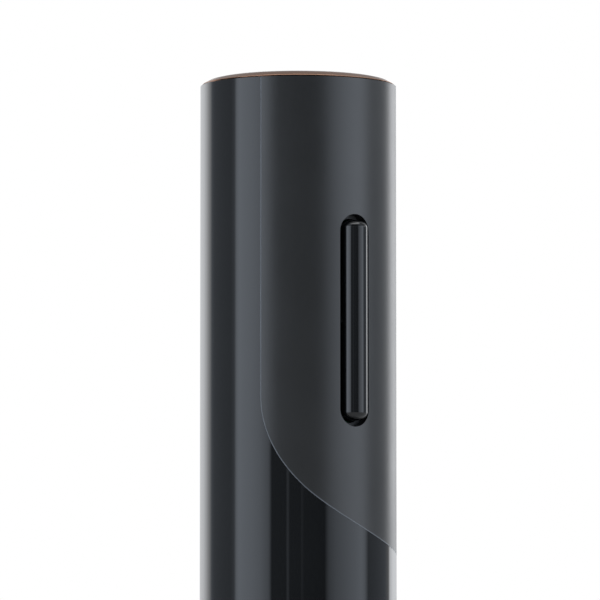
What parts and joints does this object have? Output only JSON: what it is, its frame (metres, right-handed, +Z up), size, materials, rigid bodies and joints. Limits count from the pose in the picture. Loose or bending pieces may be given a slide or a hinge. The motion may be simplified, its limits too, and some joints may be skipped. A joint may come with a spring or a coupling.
{
  "type": "electric wine opener",
  "caption": "Cylindrical cordless corkscrew: two-tone shell, long rocker button, geared motor, worm that turns and slides down a clear cork chamber.",
  "frame": {"origin": "centre of the collar's flat bottom rim, on the surface that the opener stands on", "axes": "+Z up along the body to the copper cap, -Y towards the rocker button, +X to the right of the button as seen from the front"},
  "size_m": [0.05, 0.0534, 0.24],
  "materials": {
    "gloss_black": "high gloss dark grey-black moulded plastic",
    "soft_black": "satin soft-touch coating, dark grey",
    "copper": "satin copper-coloured metal",
    "smoke": "clear smoke-tinted moulded plastic, polished",
    "clear": "clear moulded plastic",
    "rubber": "soft moulded rubber",
    "steel": "bright plated steel",
    "worm_steel": "low-friction coated spring steel",
    "zinc": "machined and die-cast metal, fine turning marks",
    "acetal": "natural acetal, faint sheen",
    "nylon": "glass-filled black nylon, fine moulded texture",
    "bronze": "sintered bronze",
    "board": "green solder mask with traces",
    "cell_wrap": "printed-free heat-shrink wrap over a metal can",
    "ferrite": "sintered ferrite",
    "wire_red": "PVC insulation",
    "wire_black": "PVC insulation"
  },
  "bodies": {
    "housing": {"bottle_collar": "gloss_black", "bottle_stop_ring": "rubber", "window_sleeve": "smoke", "cork_sleeve": "clear", "guide_sleeve": "acetal", "thrust_washer": "bronze", "gearbox_base": "nylon", "output_bush": "bronze", "ring_gear": "acetal", "motor_plate": "zinc", "motor_can": "zinc", "motor_magnet_1": "ferrite", "motor_magnet_2": "ferrite", "motor_end_cap": "nylon", "battery_link_1": "steel", "battery_link_2": "steel", "battery_link_3": "steel", "chassis": "nylon", "front_shell": "soft_black", "rear_shell": "gloss_black", "top_cap": "copper", "button_frame": "nylon", "rocker_pin": "steel", "circuit_board": "board", "driver_chip": "nylon", "keypad": "rubber", "board_screw_1": "steel", "board_screw_2": "steel", "charge_socket": "steel", "charge_board": "board", "charge_lens": "clear", "battery_lead_red": "wire_red", "battery_lead_black": "wire_black", "motor_lead_red": "wire_red", "motor_lead_black": "wire_black", "gearbox_screw_1": "steel", "gearbox_screw_2": "steel", "gearbox_screw_3": "steel", "motor_screw_1": "steel", "motor_screw_2": "steel", "battery_cell_1": "cell_wrap", "battery_cell_2": "cell_wrap", "battery_cell_3": "cell_wrap", "battery_cell_4": "cell_wrap"},
    "rocker": {"rocker_button": "gloss_black"},
    "rotor": {"motor_armature": "zinc", "motor_pinion": "bronze"},
    "high_stage": {"sun_carrier": "zinc"},
    "output": {"output_carrier": "zinc", "drive_tube": "zinc"},
    "carriage": {"worm_carriage": "nylon", "cork_worm": "worm_steel"},
    "planet_high_1": {"planet_high_1": "acetal"},
    "planet_low_1": {"planet_low_1": "acetal"},
    "planet_high_2": {"planet_high_2": "acetal"},
    "planet_low_2": {"planet_low_2": "acetal"},
    "planet_high_3": {"planet_high_3": "acetal"},
    "planet_low_3": {"planet_low_3": "acetal"}
  },
  "joints": [
    {"name": "rocker_tilt", "type": "hinge", "parent": "housing", "child": "rocker", "pos_m": [0, -0.0212, 0.1772], "axis": [1, 0, 0], "range_deg": [-2, 2], "stiffness_Nm_per_rad": 0.6},
    {"name": "motor_spin", "type": "hinge", "parent": "housing", "child": "rotor", "pos_m": [0, 0, 0.155], "axis": [0, 0, -1], "range_deg": [0, 23040]},
    {"name": "high_stage_spin", "type": "hinge", "parent": "housing", "child": "high_stage", "pos_m": [0, 0, 0.1266], "axis": [0, 0, -1], "continuous": true},
    {"name": "output_spin", "type": "hinge", "parent": "housing", "child": "output", "pos_m": [0, 0, 0.1186], "axis": [0, 0, -1], "continuous": true},
    {"name": "worm_feed", "type": "slide", "parent": "output", "child": "carriage", "axis": [0, 0, -1], "range_m": [0, 0.036]},
    {"name": "planet_high_1_spin", "type": "hinge", "parent": "high_stage", "child": "planet_high_1", "pos_m": [0.0096, 0, 0.1308], "axis": [0, 0, -1], "continuous": true},
    {"name": "planet_low_1_spin", "type": "hinge", "parent": "output", "child": "planet_low_1", "pos_m": [0.0096, 0, 0.1226], "axis": [0, 0, -1], "continuous": true},
    {"name": "planet_high_2_spin", "type": "hinge", "parent": "high_stage", "child": "planet_high_2", "pos_m": [-0.0048, 0.00831, 0.1308], "axis": [0, 0, -1], "continuous": true},
    {"name": "planet_low_2_spin", "type": "hinge", "parent": "output", "child": "planet_low_2", "pos_m": [-0.0048, 0.00831, 0.1226], "axis": [0, 0, -1], "continuous": true},
    {"name": "planet_high_3_spin", "type": "hinge", "parent": "high_stage", "child": "planet_high_3", "pos_m": [-0.0048, -0.00831, 0.1308], "axis": [0, 0, -1], "continuous": true},
    {"name": "planet_low_3_spin", "type": "hinge", "parent": "output", "child": "planet_low_3", "pos_m": [-0.0048, -0.00831, 0.1226], "axis": [0, 0, -1], "continuous": true}
  ],
  "couplings": [
    {"joint": "high_stage_spin", "follows": "motor_spin", "ratio": 0.25},
    {"joint": "output_spin", "follows": "motor_spin", "ratio": 0.0625},
    {"joint": "worm_feed", "follows": "motor_spin", "m_per_rad": 0.000089525},
    {"joint": "planet_high_1_spin", "follows": "motor_spin", "ratio": -0.75},
    {"joint": "planet_low_1_spin", "follows": "motor_spin", "ratio": -0.1875},
    {"joint": "planet_high_2_spin", "follows": "motor_spin", "ratio": -0.75},
    {"joint": "planet_low_2_spin", "follows": "motor_spin", "ratio": -0.1875},
    {"joint": "planet_high_3_spin", "follows": "motor_spin", "ratio": -0.75},
    {"joint": "planet_low_3_spin", "follows": "motor_spin", "ratio": -0.1875}
  ]
}
